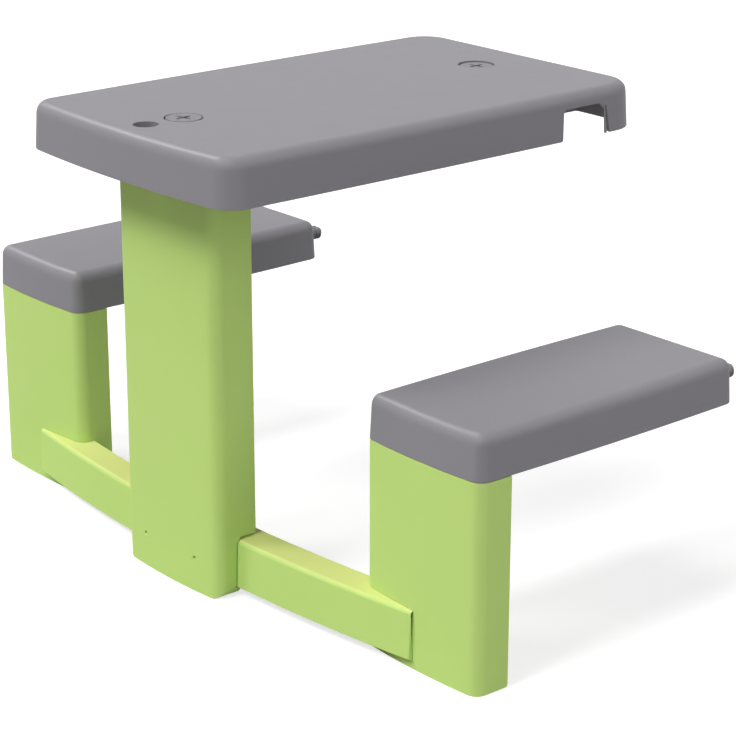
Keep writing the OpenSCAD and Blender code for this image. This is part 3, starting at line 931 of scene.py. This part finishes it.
@dataclass(frozen=True)
class Thread:
    """Sizes of a coarse moulded thread.

    Attributes:
        crest_mm: Diameter over the ridge.
        core_mm: Diameter under it.
        pitch_mm: Way along for one turn.
        ridge_mm: Width of the ridge.
        tip_mm: Length of the tapered tip.
        taper_mm: How much the tip's radius shrinks.
        run_out_mm: Length that the ridge leaves free.
    """

    crest_mm: float
    core_mm: float
    pitch_mm: float
    ridge_mm: float
    tip_mm: float
    taper_mm: float
    run_out_mm: float

    def mesh(self, form: ThreadForm, length_mm: float, material: bpy.types.Material) -> bpy.types.Mesh:
        """Run the tree for a thread along +Z.

        Args:
            form: Tree that makes the thread.
            length_mm: Length with the tip.
            material: Its finish.

        Returns:
            Its mesh.
        """
        body = length_mm - self.tip_mm
        values = {
            "Pitch": self.pitch_mm * MM,
            "Turns": (body - self.run_out_mm) / self.pitch_mm,
            "Core Radius": self.core_mm / 2 * MM,
            "Ridge Height": (self.crest_mm - self.core_mm) / 2 * MM,
            "Ridge Half Width": self.ridge_mm / 2 * MM,
            "Length": body * MM,
            "Tip Radius": (self.core_mm / 2 - self.taper_mm) * MM,
            "Tip Length": self.tip_mm * MM,
        }
        return form.mesh(values, material)


@dataclass
class LargeScrew:
    """A moulded screw with a flat round head, a cross recess and a coarse thread.

    Attributes:
        node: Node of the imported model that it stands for.
        place_mm: Middle of the underside of its head.
        turn_deg: Turn of its cross recess.
        head_mm: Diameter of the head.
        head_edge_mm: Radius of its rim.
        length_mm: Length under the head.
        shank: Thread under the head.
        cross_span_mm: Across the cross recess from tip to tip.
        cross_tip_mm: Width of its arms at the tips, and cross_root_mm at the middle.
        recess_edge_mm: Radius of the recess's edges.
        recess_over_mm: How far the cutter of the recess stands out of the head.
    """

    node: str
    place_mm: tuple[float, float, float]
    turn_deg: float
    head_mm: float = 36.6
    head_height_mm: float = 4.5
    head_edge_mm: float = 0.3
    length_mm: float = 40.0
    shank: Thread = Thread(17.5, 13.4, pitch_mm=5.5, ridge_mm=3.3, tip_mm=2.5, taper_mm=2.5, run_out_mm=3.0)
    cross_span_mm: float = 19.6
    cross_tip_mm: float = 2.5
    cross_root_mm: float = 4.3
    cross_depth_mm: float = 4.0
    recess_edge_mm: float = 0.25
    recess_over_mm: float = 1.0

    RIM_TURNS = (0.0, 0.5, 1.0, math.pi / 2)  # Angles of the rim's points, from its side to its top
    HEAD_SIDES = 96
    SHARP_DEG = 50.0

    def head(self) -> bpy.types.Object:
        """Turn the head and cut its recess.

        Returns:
            The head with its cross recess and a rounded rim.
        """
        rim, edge, top = self.head_mm / 2, self.head_edge_mm, self.head_height_mm
        arc = [(rim - edge + edge * math.cos(t), top - edge + edge * math.sin(t)) for t in self.RIM_TURNS]
        profile = [(0, 0), (rim, 0), *arc, (0, top)]
        head = as_object(self.node + "_visual", lathe(profile, self.HEAD_SIDES))
        cutter = as_object("cross_cutter", self.cross())
        cut = head.modifiers.new("cross recess", "BOOLEAN")
        cut.operation, cut.solver, cut.object = "DIFFERENCE", "EXACT", cutter
        settle(head)
        bpy.data.objects.remove(cutter)
        return round_edges(head, self.recess_edge_mm, self.SHARP_DEG)

    def cross(self) -> bmesh.types.BMesh:
        """Build the cutter of the recess, whose four arms widen towards the middle.

        Returns:
            Its edit mesh.
        """
        bm = bmesh.new()
        span, tip, root = self.cross_span_mm / 2, self.cross_tip_mm / 2, self.cross_root_mm / 2
        corners = [(span, -tip), (span, tip), (root, root)]
        floor = self.head_height_mm - self.cross_depth_mm
        ring = []
        for quarter in range(4):
            turn = math.radians(90 * quarter + self.turn_deg)
            for x, y in corners:
                across = x * math.cos(turn) - y * math.sin(turn)
                along = x * math.sin(turn) + y * math.cos(turn)
                ring.append(bm.verts.new((across * MM, along * MM, floor * MM)))
        thicken(bm, ring, (0, 0, (self.cross_depth_mm + self.recess_over_mm) * MM))
        return bm

    def build(self, form: ThreadForm, material: bpy.types.Material) -> bpy.types.Object:
        """Join head and shank and put them in their place.

        Args:
            form: Tree that makes the thread.
            material: Its finish.

        Returns:
            The finished screw.
        """
        head = self.head()
        shank = self.shank.mesh(form, self.length_mm, material)
        shank.transform(Matrix.Rotation(math.pi, 4, "X"))
        screw = merged(head, [shank])
        screw.data.transform(Matrix.Translation(Vector(self.place_mm) * MM))
        return dress(screw, material, Slot.GREY_SCREW, self.node)


@dataclass
class WallStuds:
    """The two threaded studs of one seat, each with its flange against the inside of the seat's boss.

    Attributes:
        side: The half that they belong to.
        offset_mm: From the middle of the seat to either stud.
        seat_end_y_mm: The seat's far end.
        height_mm: Height of the studs' middle.
        reach_mm: How far a stud stands out of the seat's end.
        boss_mm: Thickness of the boss that the flange bears on.
        flange_mm: Diameter and thickness of the flange.
        neck_mm: Diameter of the plain neck inside the boss.
        end: Thread of the part that stands out.
        neck_gap_mm: How far the neck ends before the seat's end.
        collar_edge_mm: Radius of the edges of flange and neck.
    """

    side: Side
    offset_mm: float = 54.5
    seat_end_y_mm: float = 178.85
    height_mm: float = 242.4
    reach_mm: float = 21.6
    boss_mm: float = 9.0
    flange_mm: tuple[float, float] = (21.4, 3.0)
    neck_mm: float = 18.0
    end: Thread = Thread(16.9, 12.0, pitch_mm=4.7, ridge_mm=2.8, tip_mm=1.4, taper_mm=0.7, run_out_mm=0.6)
    neck_gap_mm: float = 0.2
    collar_edge_mm: float = 0.4

    def stud(self, form: ThreadForm, material: bpy.types.Material) -> bpy.types.Mesh:
        """Make one stud along +Y, with the seat's end at the origin.

        Args:
            form: Tree that makes the thread.
            material: Its finish.

        Returns:
            Its mesh.
        """
        flange, neck = self.flange_mm[0] / 2, self.neck_mm / 2
        front, back = -self.neck_gap_mm, -self.boss_mm
        rear = back - self.flange_mm[1]
        profile = [(0, rear), (flange, rear), (flange, back), (neck, back), (neck, front), (0, front)]
        collar = round_edges(as_object("stud_collar", lathe(profile)), self.collar_edge_mm)
        thread = self.end.mesh(form, self.reach_mm, material)
        both = merged(collar, [thread]).data
        bpy.data.objects.remove(collar)
        both.transform(Matrix.Rotation(-math.pi / 2, 4, "X"))
        return both

    def build(self, form: ThreadForm, material: bpy.types.Material) -> bpy.types.Object:
        """Put both studs in their places.

        Args:
            form: Tree that makes the thread.
            material: Its finish.

        Returns:
            Both studs as one piece.
        """
        studs = []
        for way in (-1, 1):
            stud = self.stud(form, material)
            across = self.side.value * SEAT_X_MM + way * self.offset_mm
            stud.transform(Matrix.Translation(Vector((across, self.seat_end_y_mm, self.height_mm)) * MM))
            studs.append(stud)
        pair = merged(as_object(self.side.word + "_wall_studs_visual", bmesh.new()), studs)
        return dress(pair, material, Slot.GREY_SCREW, self.side.word + "_wall_studs")


@dataclass
class SmallScrews:
    """A row of small steel screws.

    Attributes:
        node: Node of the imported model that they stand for.
        start_mm: Middle of the first head's inner face.
        step_mm: Way from one screw to the next.
        turn_deg: Turn that brings a screw from +Z into its direction.
        length_mm: Length under the head.
        count: How many there are.
        recess_mm: Span, width and depth of the cross recess.
        head_edge_mm: Radius of the head's edges.
    """

    node: str
    start_mm: tuple[float, float, float]
    step_mm: tuple[float, float, float]
    turn_deg: tuple[float, float, float]
    length_mm: float
    count: int = 2
    head_mm: float = 8.0
    head_height_mm: float = 2.5
    shank_mm: float = 4.0
    recess_mm: tuple[float, float, float] = (4.4, 1.1, 1.4)
    head_edge_mm: float = 0.35

    @classmethod
    def of_seat(cls, side: Side) -> "SmallScrews":
        """Lay out the two screws that hold a seat on its leg, driven upwards.

        Args:
            side: The half that they belong to.

        Returns:
            The row.
        """
        first = side.value * SEAT_X_MM - SEAT_SCREW_STEP_MM / 2
        return cls(
            node=side.word + "_seat_screws",
            start_mm=(first, -151.85, 230.2),
            step_mm=(SEAT_SCREW_STEP_MM, 0, 0),
            turn_deg=(0, 0, 0),
            length_mm=18.2,
        )

    @classmethod
    def of_bar_end(cls, side: Side) -> "SmallScrews":
        """Lay out the screw that holds an end of the crossbar in its leg, driven from behind.

        Args:
            side: The half that it belongs to.

        Returns:
            A row of one.
        """
        return cls(
            node=side.word + "_bar_screw",
            start_mm=(side.value * 306.0, -141.36, 37.5),
            step_mm=(0, 0, 0),
            turn_deg=(90, 0, 0),
            length_mm=21.9,
            count=1,
        )

    @classmethod
    def of_table_leg(cls) -> "SmallScrews":
        """Lay out the two screws that hold the crossbar in the table leg, driven from behind.

        Returns:
            The row.
        """
        return cls(
            node="leg_bar_screws",
            start_mm=(-43.5, -202.11, 38.0),
            step_mm=(87.0, 0, 0),
            turn_deg=(90, 0, 0),
            length_mm=19.0,
        )

    def build(self, form: ScrewRowForm, material: bpy.types.Material) -> bpy.types.Object:
        """Run the tree for the row.

        Args:
            form: Tree that makes the row.
            material: Its finish.

        Returns:
            The row as one piece.
        """
        span, width, depth = self.recess_mm
        row = form.mesh(
            {
                "Head Radius": self.head_mm / 2 * MM,
                "Head Height": self.head_height_mm * MM,
                "Shank Radius": self.shank_mm / 2 * MM,
                "Length": self.length_mm * MM,
                "Recess Span": span * MM,
                "Recess Width": width * MM,
                "Recess Depth": depth * MM,
                "Count": self.count,
                "Start": tuple(v * MM for v in self.start_mm),
                "Step": tuple(v * MM for v in self.step_mm),
                "Turn": tuple(math.radians(v) for v in self.turn_deg),
            },
            material,
            bevel_mm=self.head_edge_mm,
        )
        obj = merged(as_object(self.node + "_visual", bmesh.new()), [row])
        return dress(obj, material, Slot.STEEL, self.node)


@dataclass
class Studio:
    """The plain pale floor, the soft light and the camera.

    Attributes:
        eye_mm: Place of the camera.
        right: Direction to the right in the picture.
        up: Direction upwards in the picture.
        lens_mm: Focal length on the sensor.
        sensor_mm: Width of the sensor.
        floor_half_mm: From the middle of the floor to its edge.
        lamps: Each soft lamp's azimuth and elevation in degrees, its level and its softness in degrees.
        dome: Level of the light from all round.
        glow: Light that the floor adds for the eye alone, which makes it white beside a light shadow.
        gleam: A narrow lamp, given as the others are, that shows only as the gleam along the round edges.
    """

    eye_mm: tuple[float, float, float] = (1900.69, -1560.82, 1041.12)
    right: tuple[float, float, float] = (0.6449038, 0.76426333, 0.00080745)
    up: tuple[float, float, float] = (-0.25187855, 0.21154347, 0.9443551)
    lens_mm: float = 116.219
    sensor_mm: float = 36.0
    floor_half_mm: float = 30000.0
    dome: float = 0.0
    glow: float = 0.72
    lamps: tuple[tuple[float, float, float, float], ...] = (
        (270.0, 50.0, 0.445, 18.0),
        (270.0, 80.0, 0.17, 18.0),
        (225.0, 50.0, 0.328, 18.0),
        (270.0, 70.0, 0.083, 18.0),
        (45.0, 35.0, 0.225, 35.0),
        (315.0, 35.0, 0.066, 35.0),
        (135.0, 35.0, 0.044, 35.0),
        (180.0, 35.0, 0.025, 35.0),
        (0.0, 10.0, 0.12, 35.0),
    )
    gleam: tuple[float, float, float, float] = (182.0, 42.0, 0.85, 10.0)

    def camera(self) -> None:
        """Place the camera where the photograph was taken from."""
        data = bpy.data.cameras.new("camera")
        data.lens, data.sensor_width = self.lens_mm, self.sensor_mm
        data.clip_start, data.clip_end = 0.05, 200.0
        cam = bpy.data.objects.new("camera", data)
        right, up = Vector(self.right), Vector(self.up)
        turn = Matrix((right, up, right.cross(up))).transposed().to_4x4()
        cam.matrix_world = Matrix.Translation(Vector(self.eye_mm) * MM) @ turn
        bpy.context.scene.collection.objects.link(cam)
        bpy.context.scene.camera = cam

    def seen_by_eye(self, tree: bpy.types.NodeTree) -> bpy.types.NodeSocket:
        """Tell what the camera sees, straight or through a reflection, from what only gets light.

        Args:
            tree: Node tree that asks.

        Returns:
            Socket that is 1 where the camera sees.
        """
        path = add_node(tree, "ShaderNodeLightPath").outputs
        seen = path["Is Camera Ray"]
        for ray in ("Is Glossy Ray", "Is Transmission Ray"):
            node = add_node(tree, "ShaderNodeMath", {"operation": "MAXIMUM"}, links={0: seen, 1: path[ray]})
            seen = node.outputs[0]
        return seen

    def floor(self) -> None:
        """Lay a wide pale floor that shows white and keeps the object's soft shadow."""
        bm = bmesh.new()
        bmesh.ops.create_grid(bm, x_segments=1, y_segments=1, size=self.floor_half_mm * MM)
        floor = as_object("studio_floor", bm)
        material = blank_material("painted_studio_floor")
        tree = material.node_tree
        seen = self.seen_by_eye(tree)
        glow = add_node(tree, "ShaderNodeMath", {"operation": "MULTIPLY"}, {1: self.glow}, {0: seen})
        shader = add_node(
            tree,
            "ShaderNodeBsdfPrincipled",
            values={
                "Base Color": linear(Tone.STUDIO_WHITE),
                "Roughness": 0.9,
                "Specular IOR Level": 0.1,
                "Emission Color": (1, 1, 1, 1),
            },
            links={"Emission Strength": glow.outputs[0]},
        )
        add_node(tree, "ShaderNodeOutputMaterial", links={"Surface": shader.outputs[0]})
        floor.data.materials.append(material)

    def sky(self) -> None:
        """Surround the scene with white that the camera sees and a faint light from all round."""
        world = bpy.data.worlds.new("studio")
        bpy.context.scene.world = world
        world.use_nodes = True
        tree = world.node_tree
        tree.nodes.clear()
        level = add_node(
            tree,
            "ShaderNodeMapRange",
            values={"To Min": self.dome, "To Max": 1.0},
            links={"Value": self.seen_by_eye(tree)},
        )
        white = {"Color": (1, 1, 1, 1)}
        back = add_node(tree, "ShaderNodeBackground", values=white, links={"Strength": level.outputs[0]})
        add_node(tree, "ShaderNodeOutputWorld", links={"Surface": back.outputs[0]})

    def lamp(self, azimuth: float, elevation: float, level: float, softness: float) -> bpy.types.Object:
        """Hang a soft lamp far from the table.

        Args:
            azimuth: Its direction about Z, from +X towards +Y, in degrees.
            elevation: Its height above the floor, in degrees.
            level: Light on a white plate that faces it, where 1 shows white.
            softness: Its apparent width, in degrees.

        Returns:
            The lamp.
        """
        data = bpy.data.lights.new("soft_lamp", "SUN")
        data.energy, data.angle = level * math.pi, math.radians(softness)
        obj = bpy.data.objects.new("soft_lamp_%03d_%02d" % (azimuth, elevation), data)
        toward = Vector((1, 0, 0))
        toward.rotate(Euler((0, -math.radians(elevation), math.radians(azimuth))))
        obj.rotation_euler = (-toward).to_track_quat("-Z", "Y").to_euler()
        bpy.context.scene.collection.objects.link(obj)
        return obj

    def build(self) -> None:
        """Set up the whole studio."""
        bpy.context.scene.view_settings.view_transform = "Standard"
        self.camera()
        self.floor()
        self.sky()
        for lamp in self.lamps:
            self.lamp(*lamp)
        gleam = self.lamp(*self.gleam)
        gleam.visible_diffuse = False
        gleam.data.use_shadow = False


def main() -> None:
    """Build the studio and every piece."""
    logging.basicConfig(level=logging.INFO, format="%(message)s")
    Studio().build()
    finishes = Finishes.make()
    threads, rows = ThreadForm(), ScrewRowForm()

    Tabletop().build(finishes.grey)
    TableLeg().build(finishes.green)
    Crossbar().build(finishes.green)
    for side in Side:
        Seat(side=side).build(finishes.grey)
        SeatLeg(side=side).build(finishes.green)
        WallStuds(side).build(threads, finishes.screw)
        SmallScrews.of_seat(side).build(rows, finishes.steel)
        SmallScrews.of_bar_end(side).build(rows, finishes.steel)
    LargeScrew("near_table_screw", (0, -198.25, 490.5), turn_deg=8.0).build(threads, finishes.screw)
    LargeScrew("far_table_screw", (0, 200.05, 488.9), turn_deg=7.0).build(threads, finishes.screw)
    SmallScrews.of_table_leg().build(rows, finishes.steel)


if __name__ == "__main__":
    main()
